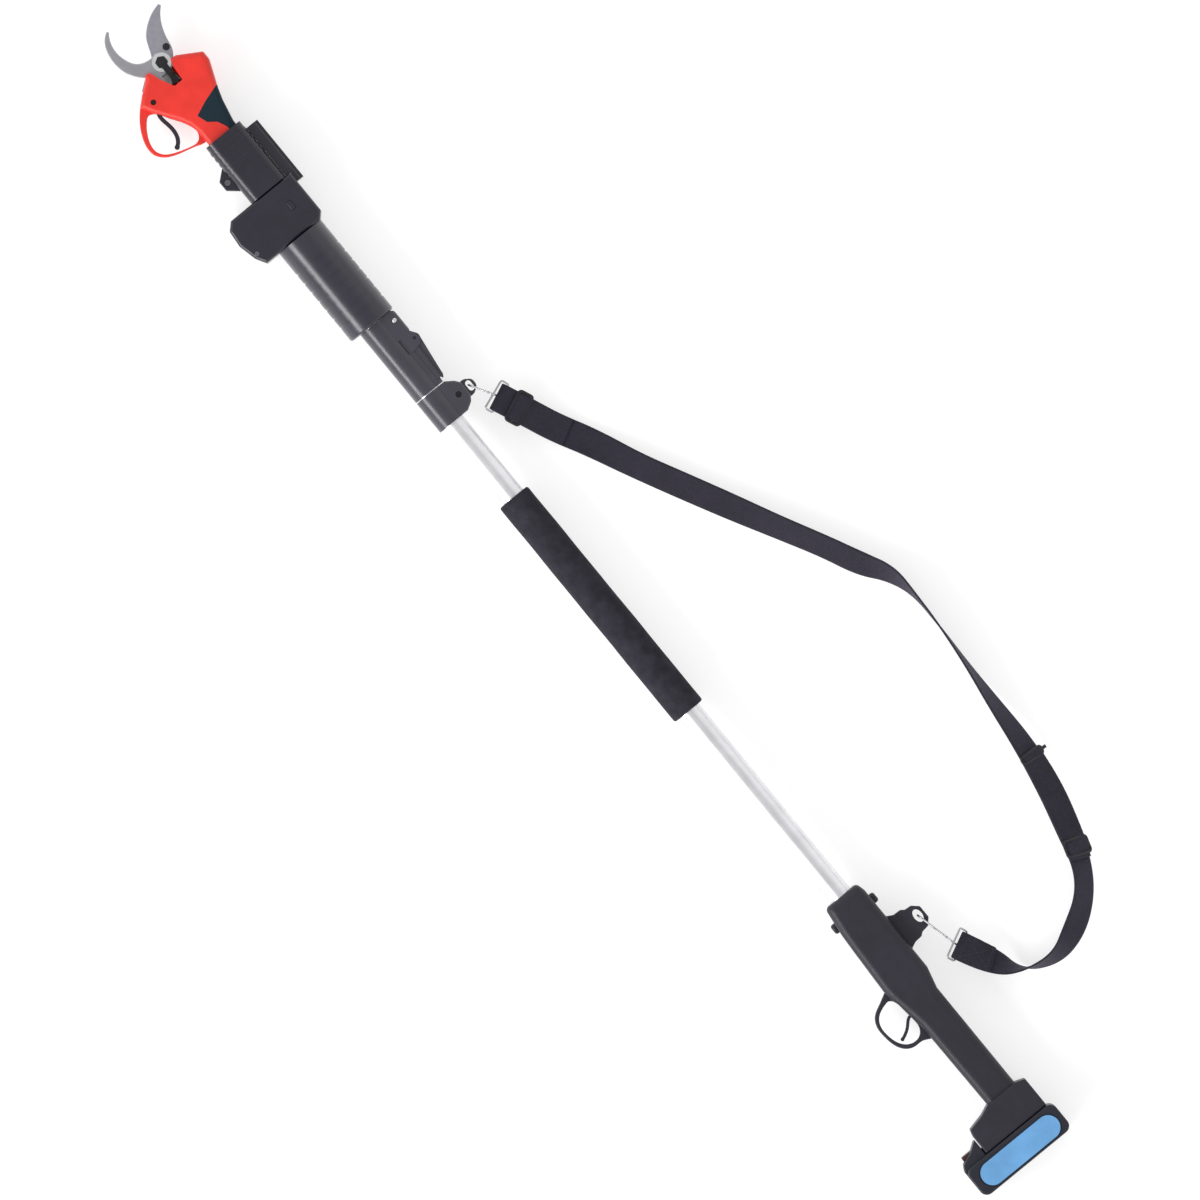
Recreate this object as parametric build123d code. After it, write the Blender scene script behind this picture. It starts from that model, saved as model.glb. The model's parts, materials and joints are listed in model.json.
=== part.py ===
"""Battery pole pruner: a powered bypass cutter on a telescoping pole with a remote trigger handle.

Everything is modelled about the pole's axis, X, with the cutting head towards +X and both trigger
guards towards +Y. The tool lies on its side, so FRAME sets it down on the floor plane at the end.
"""
import math
import os

from build123d import *

# --- driving dimensions, in millimetres -------------------------------------------------------
AXIS_HEIGHT = 30.0          # pole axis above the floor the tool lies on
AXIS_SHIFT = -13.0          # pole axis beside the middle of the overall box
FRAME = Location((0, AXIS_SHIFT, AXIS_HEIGHT))

TUBE_OD = 28.0              # outer, fixed tube
TUBE_WALL = 1.2
INNER_OD = 24.8             # sliding tube
INNER_WALL = 1.2
BORE_FIT = 0.06             # radial clearance of pins and bushes

PIVOT = (735.2, -4.0)       # blade pivot in plan
BLADE_T = 3.6
BLADE_GAP = 0.1             # half the gap between the two blades
HEAD_HALF = 20.0            # half thickness of the cutter housing
GUARD_HALF = 8.0
SECTOR_R = 24.0             # pitch radius of the sector gear
PINION_R = 6.0

SLEEVE_X = (540.2, 630.7)   # cradle that grips the cutter's handle
BLOCK_X = (490.6, 551.6)    # plug block behind the cradle
BARREL_X = (365.2, 490.4)
BARREL_R = 29.6
LOCK_X = (268.6, 364.8)     # flip-lever tube lock
STRAP_COLLAR_X = (226.6, 267.4)
FOAM_X = (-182.6, 121.0)
FOAM_R = 19.8
BATTERY_X = (-801.9, -774.0)
BATTERY_Y = (-36.3, 86.9)
BATTERY_HALF = 30.0
INNER_X = (-290.0, 476.0)
OUTER_X = (-500.0, 352.0)

WEB_W = 32.0                # strap webbing
WEB_T = 2.2


def save(name, *solids):
    """One STEP file per named piece, set down on the floor."""
    placed = [FRAME * s for s in solids]
    shape = placed[0] if len(placed) == 1 else Compound(children=placed)
    export_step(shape, f"parts/{name}.step")


def box(x0, x1, y0, y1, z0, z1):
    """A block between two corners."""
    size = (x1 - x0, y1 - y0, z1 - z0)
    return Pos((x0 + x1) / 2, (y0 + y1) / 2, (z0 + z1) / 2) * Box(*size)


def rod(x0, x1, r, y=0.0, z=0.0):
    """A cylinder along X."""
    return Pos((x0 + x1) / 2, y, z) * Rot(0, 90, 0) * Cylinder(r, x1 - x0)


def pin(x, y, z0, z1, r):
    """A cylinder along Z."""
    return Pos(x, y, (z0 + z1) / 2) * Cylinder(r, z1 - z0)


def post(x, z, y0, y1, r):
    """A cylinder along Y."""
    return Pos(x, (y0 + y1) / 2, z) * Rot(90, 0, 0) * Cylinder(r, y1 - y0)


def tube(x0, x1, r_out, r_in):
    """A hollow tube along X."""
    return rod(x0, x1, r_out) - rod(x0 - 1, x1 + 1, r_in)


def slab(points, z0, z1, radius=0.0):
    """A plate from a closed outline, with rounded plan corners."""
    face = make_face(Polyline(*points, close=True))
    if radius:
        face = fillet(face.vertices(), radius)
    return Pos(0, 0, z0) * extrude(face, z1 - z0)


def curve_slab(points, z0, z1):
    """A plate whose outline is one smooth closed curve."""
    return Pos(0, 0, z0) * extrude(make_face(Spline(*points, periodic=True)), z1 - z0)


def soften(solid, radius, wanted):
    """Rounds the edges that wanted picks out."""
    return fillet([e for e in solid.edges() if wanted(e)], radius)


def flat_edges(solid, z):
    """Edges lying in the two faces at +z and -z."""
    return [e for e in solid.edges() if all(abs(abs(v.Z) - z) < 1e-3 for v in e.vertices())
            and abs(abs(e.center().Z) - z) < 1e-3]


def rim_rounded(solid, z, radius):
    """Rounds the whole rim at both faces."""
    return fillet(flat_edges(solid, z), radius)


def upper(solid):
    """The half above the split plane."""
    return solid & box(-900, 900, -300, 300, 0, 100)


def lower(solid):
    """The half below the split plane."""
    return solid & box(-900, 900, -300, 300, -100, 0)


def pan_screw(x, y, z_top, length, r_head, r_shank):
    """A cross-head screw, seen from +Z."""
    head = pin(x, y, z_top - 1.8, z_top, r_head)
    head = fillet(head.edges().sort_by(Axis.Z)[-1:], 0.8)
    cross = box(x - 2, x + 2, y - 0.4, y + 0.4, z_top - 1.0, z_top + 1)
    cross += box(x - 0.4, x + 0.4, y - 2, y + 2, z_top - 1.0, z_top + 1)
    return head + pin(x, y, z_top - 1.8 - length, z_top - 1.8, r_shank) - cross


def screw_hole(x, y, z_top, length, r_head, r_shank):
    """The counterbored hole that a pan_screw fills."""
    return (pin(x, y, z_top - 1.8, z_top + 30, r_head + 0.15)
            + pin(x, y, z_top - 1.8 - length - 0.5, z_top, r_shank))


# --- cutter head -------------------------------------------------------------------------------
HEAD_CORE = [(730.9, -21), (715.2, -46.8), (705.2, -46.8), (674.2, -34), (661.2, -29.8),
             (636.2, -24.4), (553.2, -24.4), (553.2, 13.6), (648.2, 13.6), (661.2, 16), (673.2, 22),
             (684.2, 30), (700.2, 40.5), (710.7, 46), (719.9, 36.3), (728.2, 25), (735.2, 18.7)]
GUARD_OUTER = [(719.9, 36.3), (711.1, 46.4), (697.9, 57.6), (685.2, 64.6), (672.6, 68.2),
               (661.6, 67.2), (652.6, 60.2), (645.2, 44.2), (637.8, 20)]
GUARD_WINDOW = [(698.7, 42.5), (694.2, 36), (683.2, 29.2), (672.2, 22), (661.2, 16.4), (650.2, 14.4),
                (643, 19.5), (643.6, 32), (648.6, 47), (655.6, 58.6), (663.2, 62.9), (673.2, 62.6),
                (685.2, 57.6), (695.2, 50)]
INLAY = [(677.2, -60), (677.2, -34), (671.2, -14), (664.2, 3), (652.2, -1), (645.2, -10), (634.2, -15),
         (597.2, -15), (597.2, -60)]
HEAD_SCREWS = [(709.2, -38), (645.2, 6), (678.2, -23)]       # driven in from below
HEAD_TOP_SCREW = (706.2, 31)
HOOK_SEATS = [(720.2, 27.5), (703.2, 13)]
HEAD_TRIGGER_PIVOT = (696.8, 33.0)
HEAD_TRIGGER_HALF = 4.8
BLADE_SCREW = (745.4, -18.6)
LOCK_SCREW_X = 718.7


def head_block():
    """The cutter housing as one solid: rounded body with its finger guard."""
    core = rim_rounded(slab(HEAD_CORE, -HEAD_HALF, HEAD_HALF, 2.5), HEAD_HALF, 6.0)
    outline = make_face([Spline(*GUARD_OUTER), Polyline(GUARD_OUTER[-1], (636.2, 8), (687.2, 8),
                                                        (719.2, 30), GUARD_OUTER[0])])
    guard = Pos(0, 0, -GUARD_HALF) * extrude(outline, 2 * GUARD_HALF)
    guard = rim_rounded(guard, GUARD_HALF, 1.6)
    return core + guard - curve_slab(GUARD_WINDOW, -40, 40)


def inlay_block(block):
    """Rubber inlay that wraps the back of the grip."""
    inner = offset(make_face(Polyline(*HEAD_CORE, close=True)), -1.6)
    depth = HEAD_HALF - 1.6
    under = Pos(0, 0, -depth) * extrude(fillet(inner.vertices(), 1.2), 2 * depth)
    return (block & slab(INLAY, -40, 40, 1.5)) - rim_rounded(under, depth, 4.6)


def head_cavity():
    """Room for the drive, open at the front where the blades come out."""
    room = slab([(728.2, -20), (714.2, -43.5), (705.2, -43.5), (661.2, -26.5), (636.2, -21.5),
                 (557.2, -21.5), (557.2, 10.6), (647.2, 10.6), (665.2, 14), (687.2, 26), (712.2, 30),
                 (725.2, 22)], -17, 17, 2)
    mouth = slab([(742.2, -33), (715.2, -33), (708.2, 4), (708.2, 24), (742.2, 24)], -11.4, 4.4)
    notch = slab([(742.2, -18), (724.2, -11), (705.4, -9.5), (705.4, 1.5), (722.2, 10),
                  (742.2, 16)], 3.9, 40, 1)
    return room + mouth + notch


def head_bosses():
    """Screw posts, fixed-blade seats and the frames that hold the drive."""
    depth = HEAD_HALF - 3
    solid = box(599.2, 603.2, -21.8, 11, -depth - 0.2, depth + 0.2)
    solid += box(629.2, 633.2, -21.8, 11, -depth - 0.2, depth + 0.2)
    for x, y in HEAD_SCREWS + [HEAD_TOP_SCREW] + HOOK_SEATS:
        solid += pin(x, y, -depth, depth, 4.0)
    return solid - rod(557.2, 637.2, 14.3, PIVOT[1])


def head_shells(block, inlay):
    """Both housing halves, with the fixed blade's pocket, trigger slot and screw holes."""
    body = block - head_cavity() + (head_bosses() & block) - inlay
    body -= slab([(742.2, 6), (742.2, 24), (733.2, 26), (726.2, 35), (713.2, 35), (696.7, 20.5), (696.7, 6.5),
                  (713.2, 3.5)], 0, BLADE_GAP + BLADE_T)
    body -= box(637.2, 701.7, 26.5, 46, -HEAD_TRIGGER_HALF - 0.5, HEAD_TRIGGER_HALF + 0.5)
    body -= pin(*HEAD_TRIGGER_PIVOT, -12, 12, 2.0)
    for x, y in HEAD_SCREWS:
        body -= turned(screw_hole(x, -y, HEAD_HALF - 1.0, 26, 3.0, 1.5))
    body -= screw_hole(*HEAD_TOP_SCREW, HEAD_HALF - 1.0, 26, 3.0, 1.5)
    body -= screw_hole(LOCK_SCREW_X, PIVOT[1], 14.2, 7.5, 3.0, 1.6)
    body -= pin(*PIVOT, -15, -10, 7.4) + pin(*PIVOT, 3.7, 13, 10.9)
    return upper(body), lower(body)


def long_edges(plate, z):
    """Curved edges over 40 mm long round the face at height z, the longest first."""
    found = [e for e in plate.edges() if e.length > 40 and abs(e.center().Z - z) < 1e-3]
    return sorted(found, key=lambda e: -e.length)


def hook_blade():
    """Fixed hooked counter blade; its root is clamped between the housing halves."""
    inner_edge = Spline((796.8, 20.2), (784.6, 26.4), (773, 27.5), (761.4, 24.8), (752.1, 19.3),
                        (746.8, 9), (747.4, -5))
    ring = ThreePointArc((747.4, -5), (735.2, -16.3), (723, -5))
    root = Polyline((723, -5), (723.2, 6), (713.2, 5), (698.2, 8), (698.2, 19), (714.2, 33), (724.2, 33),
                    (733.1, 20.9))
    back = Spline((733.1, 20.9), (740.2, 28), (753.2, 35.2), (769.4, 37.4), (781, 35.8), (792.6, 30.3),
                  (799.7, 21.3))
    tip = Line((799.7, 21.3), (796.8, 20.2))
    plate = Pos(0, 0, BLADE_GAP) * extrude(make_face([inner_edge, ring, root, back, tip]), BLADE_T)
    plate = chamfer(long_edges(plate, BLADE_GAP + BLADE_T), 1.0)
    return plate - pin(*HEAD_TOP_SCREW, -1, 9, 1.7) - pin(*PIVOT, -1, 9, 4.0)


def cutting_blade():
    """Moving blade with a convex edge, drawn open."""
    back = Spline((784.1, -42.9), (770.4, -31.9), (757.6, -26.6), (746.3, -24.2))
    heel = ThreePointArc((746.3, -24.2), (737.7, -21.6), (729.8, -15.6))
    ring = ThreePointArc((729.8, -15.6), (723.2, -1.5), (738.2, 8.0))
    belly = Spline((738.2, 8.0), (752.4, -1.3), (766.9, -7.7), (776.1, -16.5), (783, -27.5),
                   (787.5, -41.8))
    tip = Line((787.5, -41.8), (784.1, -42.9))
    plate = extrude(make_face([back, heel, ring, belly, tip]), BLADE_T)
    plate = chamfer(long_edges(plate, BLADE_T)[:1], 0.7)
    plate = Pos(0, 0, -BLADE_GAP - BLADE_T) * plate
    return plate - pin(*PIVOT, -9, 1, 4.0 + BORE_FIT) - pin(*BLADE_SCREW, -9, 1, 1.6)


def blade_screw():
    """Small screw that keys the sector gear to the moving blade."""
    return pin(*BLADE_SCREW, -BLADE_GAP, 1.6, 4.0) + pin(*BLADE_SCREW, -6.4, -BLADE_GAP, 1.6)


def sector_gear():
    """Toothed quadrant under the moving blade, joined to it by a hub."""
    far = [(PIVOT[0] + 60 * math.cos(math.radians(a)), PIVOT[1] + 60 * math.sin(math.radians(a)))
           for a in (112, 150, 188)]
    quadrant = slab([PIVOT] + far, -10.6, -7.2)
    gear = quadrant & pin(*PIVOT, -12, 0, SECTOR_R + 2.5)
    gear += pin(*PIVOT, -10.6, -BLADE_GAP - BLADE_T, 9.4)
    for tooth in range(12):
        ridge = Pos(SECTOR_R - 0.8, 0, -6.9) * Box(6.0, 1.1, 0.8)
        gear += Pos(*PIVOT, 0) * Rot(0, 0, 117.0 + 6.0 * tooth) * ridge
    return gear - pin(*PIVOT, -14, 1, 4.0 + BORE_FIT)


def pivot_bolt():
    """Shouldered bolt that carries both blades."""
    return pin(*PIVOT, -10.8, 12.6, 4.0) + pin(*PIVOT, -14.4, -10.8, 7.0)


def pivot_nut():
    """Hexagon nut over the washer."""
    nut = Pos(PIVOT[0], PIVOT[1], 5.1) * extrude(RegularPolygon(7.2, 6), 5.3)
    return (nut & pin(*PIVOT, 5.1, 10.4, 6.9)) - pin(*PIVOT, 0, 20, 4.0)


def pivot_washer():
    """Bright washer under the nut."""
    return pin(*PIVOT, BLADE_GAP + BLADE_T, 5.1, 10.6) - pin(*PIVOT, 0, 9, 4.0)


def lock_plate():
    """Bar that stops the pivot nut from turning."""
    y = PIVOT[1]
    bar = box(707.4, 733.2, y - 3.6, y + 3.6, 10.4, 12.4) + pin(*PIVOT, 10.4, 12.4, 6.2)
    foot = pin(LOCK_SCREW_X, y, 3.9, 10.4, 3.6)
    return bar + foot - pin(*PIVOT, 0, 20, 4.0) - pin(LOCK_SCREW_X, y, 0, 20, 1.6)


def head_screws():
    """Screws of the cutter housing and of the lock plate."""
    screws = [turned(pan_screw(x, -y, HEAD_HALF - 1.0, 26, 3.0, 1.5)) for x, y in HEAD_SCREWS]
    screws.append(pan_screw(*HEAD_TOP_SCREW, HEAD_HALF - 1.0, 26, 3.0, 1.5))
    return screws + [pan_screw(LOCK_SCREW_X, PIVOT[1], 14.2, 7.5, 3.0, 1.6)]


def drive_pinion():
    """Bevel pinion on the gearbox output shaft."""
    x0 = PIVOT[0] - SECTOR_R - 3.0
    gear = Pos(x0 + 3, PIVOT[1], 0) * Rot(0, 90, 0) * Cone(PINION_R - 0.2, PINION_R - 1.7, 6.0)
    for tooth in range(8):
        groove = Pos(x0 + 3, 0, PINION_R - 0.6) * Box(8, 1.5, 1.4)
        gear -= Pos(0, PIVOT[1], 0) * Rot(45.0 * tooth + 22.5, 0, 0) * groove
    return gear + rod(637.8, x0 + 1, 3.0, PIVOT[1])


def gearbox():
    """Planetary reduction with its output flange."""
    return rod(606.2, 634.2, 14.2, PIVOT[1]) + rod(634.2, 637.2, 8.0, PIVOT[1])


def motor():
    """Drive motor with its end cap and terminals."""
    can = rod(563.2, 606.2, 13.8, PIVOT[1]) + rod(560.7, 563.2, 9.0, PIVOT[1])
    return can + box(558.4, 561.2, -10, -7, -1, 1) + box(558.4, 561.2, -1, 2, -1, 1)


def control_board():
    """Driver board on the floor of the grip, with its larger components."""
    board = box(652.2, 673.2, -17, 9, -17, -15.4)
    return board + box(653.2, 659.2, -16, -9, -15.4, -12.8) + pin(667.2, -12, -15.4, -10.4, 3.2)


def head_switch():
    """Microswitch on the board that the head trigger works."""
    return box(654.2, 668.2, 0, 8.5, -15.4, 4) + box(659.2, 662.2, 8.5, 10.2, -2, 2)


def sweep_plate(points, width, z0, z1):
    """A band of constant width along a smooth plan curve."""
    spine = Spline(*points)
    count = 12
    left, right = [], []
    for k in range(count + 1):
        here, along = spine @ (k / count), spine % (k / count)
        left.append((here.X - along.Y * width / 2, here.Y + along.X * width / 2))
        right.append((here.X + along.Y * width / 2, here.Y - along.X * width / 2))
    face = make_face([Spline(*left), Line(left[-1], right[-1]), Spline(*right[::-1]),
                      Line(right[0], left[0])])
    return Pos(0, 0, z0) * extrude(face, z1 - z0)


def finger_lever(points, width, half, pivot, hub, toe):
    """A curved trigger with a hub at its pivot and a rounded toe."""
    lever = sweep_plate(points, width, -half, half) + pin(*points[-1], -half, half, toe)
    return lever + pin(*pivot, -half, half, hub) - pin(*pivot, -20, 20, 2.0 + BORE_FIT)


def head_trigger():
    """Curved finger lever in the cutter's guard."""
    points = [(696.8, 33.0), (688.2, 35.4), (675.9, 33.8), (661.2, 34.8), (652.2, 42)]
    return finger_lever(points, 4.6, HEAD_TRIGGER_HALF, HEAD_TRIGGER_PIVOT, 4.0, 2.9)


def head_trigger_spring():
    """Leaf spring above the lever's root."""
    return box(685.2, 700.7, 26.5, 27.3, -3, 3) + box(685.2, 687.2, 27.3, 28.6, -3, 3)


# --- cradle, plug block and barrel -------------------------------------------------------------
SLEEVE_Y = (-29.4, 18.4)
RIBS = [619.2, 611.7, 604.2, 596.7, 589.2]
CLAMP_LUG = (586.8, 24.0)
LUG_OUTLINE = [(606.2, 14), (602.2, 19.5), (592.7, 30.8), (580.9, 30.8), (571.4, 19.5), (567.2, 14)]
BLOCK_OUTLINE = [(551.6, -36.3), (498.3, -36.3), (490.6, -29), (490.6, 46.5), (503, 53.5),
                 (524, 58.3), (543.2, 56.5), (551.6, 48)]
BLOCK_SCREW = (505.5, 48.6)
RELEASE_BUTTON = (523.4, -14.3)
BARREL_GROOVES = [460 - 12.6 * k for k in range(7)]
BARREL_SCREWS = [(385, 20.0), (385, -20.0), (478, 20.0), (478, -20.0)]


def round_backed(x0, x1, proud):
    """Length of the cradle's sleeve, rounder along its front than along its back."""
    y0, y1 = SLEEVE_Y[0] - proud, SLEEVE_Y[1] + proud
    solid = box(x0, x1, y0, y1, -25 - proud, 25 + proud)
    solid = fillet(solid.edges().filter_by(Axis.X).group_by(Axis.Y)[-1], 12.0 + proud)
    return fillet(solid.edges().filter_by(Axis.X).group_by(Axis.Y)[0], 9.0 + proud)


def cradle():
    """Sleeve that closes round the cutter's handle, with its ribs and clamp lug."""
    x0, x1 = SLEEVE_X
    y0, y1 = SLEEVE_Y
    sleeve = round_backed(BLOCK_X[1] + 0.2, x1, 0.0)
    for x in RIBS:
        sleeve += round_backed(x, x + 3.5, 0.7)
    sleeve += box(552.2, 619.4, y0 - 0.6, y0 + 2, -17.6, 17.6)
    sleeve += rim_rounded(slab(LUG_OUTLINE, -9, 9, 2.0), 9, 1.2)
    sleeve -= box(x0, x1 + 1, -24.4, 13.6, -HEAD_HALF, HEAD_HALF)
    sleeve -= screw_hole(*CLAMP_LUG, 8.2, 14, 4.0, 1.9)
    return upper(sleeve), lower(sleeve)


def clamp_plate():
    """Top plate with a shallow rail, screwed down on the sleeve's back."""
    top = -30.1
    plate = box(551.8, 619.8, -41.4, top, -17, 17) + box(539.7, 551.8, -41.4, -36.3, -17, 17)
    plate += box(539.7, 619.8, -45.1, -41.4, -13, 13)
    return soften(plate, 1.2, lambda e: e.length > 60 and e.center().Y < -40)


def plug_block():
    """Block shaped like a battery foot, so that the cutter snaps onto it."""
    solid = rim_rounded(slab(BLOCK_OUTLINE, -24, 24, 2.5), 24, 4.0)
    solid -= box(496, 546.2, -32, 44, -20.5, 20.5)
    solid += pin(*BLOCK_SCREW, -21, 21, 4.6) & slab(BLOCK_OUTLINE, -23, 23)
    solid -= screw_hole(*BLOCK_SCREW, 23.2, 30, 3.4, 1.6)
    x, y = RELEASE_BUTTON
    solid -= box(x - 5.3, x + 5.3, y - 3.1, y + 3.1, 10, 40)
    solid -= rod(480, 497, 20, 0)
    return upper(solid), lower(solid)


def release_button():
    """Button that frees the cutter from the plug block."""
    x, y = RELEASE_BUTTON
    cap = soften(box(x - 5, x + 5, y - 2.8, y + 2.8, 16, 25.2), 0.8, lambda e: e.center().Z > 25)
    return cap + box(x - 7, x + 7, y - 4.5, y + 4.5, 14.4, 16)


def barrel():
    """Ribbed housing between the plug block and the tube, open inside."""
    x0, x1 = BARREL_X
    solid = rod(x0, x1, BARREL_R)
    solid = fillet(solid.edges().sort_by(Axis.X)[:1], 3.0)
    for x in BARREL_GROOVES:
        solid -= tube(x - 1.3, x + 1.3, BARREL_R + 2, BARREL_R - 0.6)
    for a, b in ((x0 + 3.5, 414), (418, 466), (470, x1 - 3)):
        solid -= rod(a, b, BARREL_R - 3.2)
    solid += tube(x0 + 3, 472, 16.0, INNER_OD / 2)
    solid -= rod(x0 - 1, 480, INNER_OD / 2)
    for x, y in BARREL_SCREWS:
        solid += turned(pin(x, -y, -12, BARREL_R - 6, 3.6)) & rod(x0, x1, BARREL_R - 2)
        solid -= turned(screw_hole(x, -y, 20.0, 24, 3.2, 1.6))
    return upper(solid), lower(solid)


def turned(solid):
    """Half a turn about the pole, for fasteners seen from below."""
    return Rot(180, 0, 0) * solid


def adapter_screws():
    """Screws of the cradle, plug block and barrel."""
    screws = [pan_screw(*CLAMP_LUG, 8.2, 14, 4.0, 1.9), pan_screw(*BLOCK_SCREW, 23.2, 30, 3.4, 1.6)]
    return screws + [turned(pan_screw(x, -y, 20.0, 24, 3.2, 1.6)) for x, y in BARREL_SCREWS]


# --- tubes, tube lock and strap collar ---------------------------------------------------------
LEVER_PIVOT = (325.0, -26.8)
LOCK_BOLT = (354.0, -22.0)
COLLAR_SCREW = (246.4, -25.0)
UPPER_RING = (246.4, -40.7)


def outer_tube():
    """Fixed outer tube, cross-drilled for the handle's bolt."""
    pipe = tube(*OUTER_X, TUBE_OD / 2, TUBE_OD / 2 - TUBE_WALL)
    return pipe - post(CROSS_BOLT_X, 0, -20, 20, 2.6)


def inner_tube():
    """Sliding tube that carries the head."""
    return tube(*INNER_X, INNER_OD / 2, INNER_OD / 2 - INNER_WALL)


def tube_end_bush():
    """Plug in the sliding tube's end whose flange runs in the outer tube."""
    bore = TUBE_OD / 2 - TUBE_WALL
    x = INNER_X[0]
    flange = rod(x - 5, x, bore - BORE_FIT) + rod(x, x + 16, INNER_OD / 2 - INNER_WALL)
    return flange - rod(x - 10, x + 20, 8.0)


def lock_body():
    """Clamp on the outer tube's end, with the ears of the flip lever."""
    x0, x1 = LOCK_X
    body = rod(x0, x1, 17.4)
    body += soften(box(x0, x1, -21, 0, -13, 13), 5.0,
                   lambda e: e.length > 80 and e.center().Y < -20)
    body += soften(box(333, x1, -28.6, 0, -15, 15), 5.0,
                   lambda e: e.length > 28 and e.center().Y < -28)
    ear = slab([(314, -14), (316, -27), (320, -31.5), (329, -31.5), (337, -26), (337, -14)],
               11.4, 15, 1.5)
    body += ear + mirror(ear, Plane.XY)
    cheek = slab([(273, -18), (275, -22.8), (316, -24.2), (316, -18)], 11.5, 13, 0.6)
    body += cheek + mirror(cheek, Plane.XY)
    body -= pin(*LEVER_PIVOT, -11.4, 11.4, 7.6)
    body -= pin(*LEVER_PIVOT, -20, 20, 2.0)
    body -= rod(x0 - 1, OUTER_X[1], TUBE_OD / 2) + rod(300, x1 + 1, INNER_OD / 2 + 0.2)
    body -= box(352.6, 400, -40, -10, -0.8, 0.8)
    return body - screw_hole(*LOCK_BOLT, 15.6, 24, 2.5, 1.6)


def flip_lever():
    """Over-centre lever that clamps the sliding tube."""
    x, y = LEVER_PIVOT
    arm = slab([(x, y + 3.6), (x, y - 6.2), (312, -31.2), (292, -28.4), (275, -26.2), (270.6, -23.6),
                (275, -21.6), (312, -21.4)], -11, 11, 0.9)
    lever = arm + pin(x, y, -11, 11, 6.2)
    return lever - pin(x, y, -20, 20, 2.0 + BORE_FIT)


def strap_collar():
    """Two-part collar on the tube with the upper strap eye."""
    x0, x1 = STRAP_COLLAR_X
    collar = rod(x0, x1, 17.4)
    outline = [(x1, 5), (x1, -22), (261, -31), (255, -35.4), (238, -35.4), (232, -31), (x0, -22),
               (x0, 5)]
    collar += rim_rounded(slab(outline, -13, 13, 1.5), 13, 3.0)
    ex, ey = UPPER_RING
    eye = slab([(ex + 11, -30), (ex + 9.5, -40), (ex + 4.5, -47.3), (ex - 4.5, -47.3),
                (ex - 9.5, -40), (ex - 11, -30)], -4, 4, 6.0)
    slot = Pos(ex, ey, -9) * extrude(SlotOverall(12.4, 6.6), 18)
    collar = collar + eye - slot - rod(x0 - 1, x1 + 1, TUBE_OD / 2)
    collar -= screw_hole(*COLLAR_SCREW, 12.2, 18, 3.2, 1.6)
    return upper(collar), lower(collar)


def foam_grip():
    """Foam sleeve on the outer tube."""
    sleeve = fillet(rod(*FOAM_X, FOAM_R).edges(), 2.5)
    return sleeve - rod(FOAM_X[0] - 1, FOAM_X[1] + 1, TUBE_OD / 2)


def curly_lead():
    """Outer shape of the coiled power lead inside the tubes."""
    return rod(-455, 440, 6.0)


# --- trigger handle ----------------------------------------------------------------------------
CROSS_BOLT_X = -469.7
LOWER_RING = (-515.9, -52.3)
HANDLE_PLAN = [(-445.5, -22), (-457, -24.7), (-565, -24.7), (-590, -18.4), (-742, -18.4),
               (-742, 20.4), (-612, 22), (-590, 25.5), (-567, 29.5), (-556, 30), (-500, 27.5),
               (-480, 26.4), (-445.5, 22)]
HANDLE_HALF = 21.0
TRIGGER_GUARD = [(-553, 18), (-558.6, 31), (-564.6, 42.4), (-570.6, 53.4), (-580, 59.8),
                 (-595, 60.8), (-610, 57.9), (-620.4, 51), (-624.8, 41.4), (-625.6, 30), (-630, 19),
                 (-622, 10), (-590, 8), (-560, 10)]
TRIGGER_WINDOW = [(-568, 34.5), (-570, 42.4), (-575, 51.2), (-583, 56.2), (-595, 57),
                  (-608, 54), (-616.6, 48), (-620.6, 40), (-619.2, 30.4), (-612, 24.6),
                  (-602.8, 23.8), (-589.6, 25.2), (-579, 26.2), (-571.4, 28.8)]
STRAP_LUG = [(-488, -18), (-495, -26), (-498.2, -32), (-498.6, -41), (-501.6, -45), (-502.4, -53),
             (-509, -60.4), (-524, -60.6), (-531.4, -54), (-532.6, -45), (-535.8, -41),
             (-536.4, -32), (-539, -26), (-545, -18)]
FOOT = [(-728.2, -29.7), (-765, -29.7), (-765, 55), (-741, 55), (-733.7, 52.8), (-729.3, 33),
        (-724, 20.4), (-724, -18.4)]
HANDLE_SCREWS = [(-506, 16), (-548, -14), (-585, 14), (-655, 6), (-715, 6)]
HANDLE_SCREW_TOP = 19.6
REMOTE_PIVOT = (-600.0, 17.5)
REMOTE_HALF = 4.0


def handle_block():
    """The trigger handle as one solid, from the tube socket to the battery foot."""
    grip = rim_rounded(slab(HANDLE_PLAN, -HANDLE_HALF, HANDLE_HALF, 6.0), HANDLE_HALF, 9.0)
    guard = rim_rounded(curve_slab(TRIGGER_GUARD, -7, 7), 7, 1.4)
    lug = rim_rounded(slab(STRAP_LUG, -5.5, 5.5, 2.0), 5.5, 1.5)
    foot = rim_rounded(slab(FOOT, -26, 26, 2.0), 26, 1.8)
    block = grip + guard + lug + foot - curve_slab(TRIGGER_WINDOW, -40, 40)
    return block - Pos(*LOWER_RING, -9) * extrude(Ellipse(8.0, 4.9), 18)


def handle_cavity():
    """Tube socket, room for the switch gear, and the battery's rail pocket."""
    room = rod(OUTER_X[0], -440, TUBE_OD / 2) + box(-560, OUTER_X[0] - 4, -19, 22, -17, 17)
    room += box(-720, -555, -14, 16, -16.5, 16.5) + rod(-505, OUTER_X[0], 9.0)
    gap = REMOTE_HALF + 0.4
    slot = box(-616, -594, 12, 32, -gap, gap) + box(-596, -590.5, 22, 32, -gap, gap)
    terminal = box(-757, -724, -15, 17, -14.5, 14.5)
    rail = box(-766, -757, -23, 60, -14.6, 14.6) + box(-762, -757, -23, 60, -18.6, 18.6)
    return room + slot + terminal + rail


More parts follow.
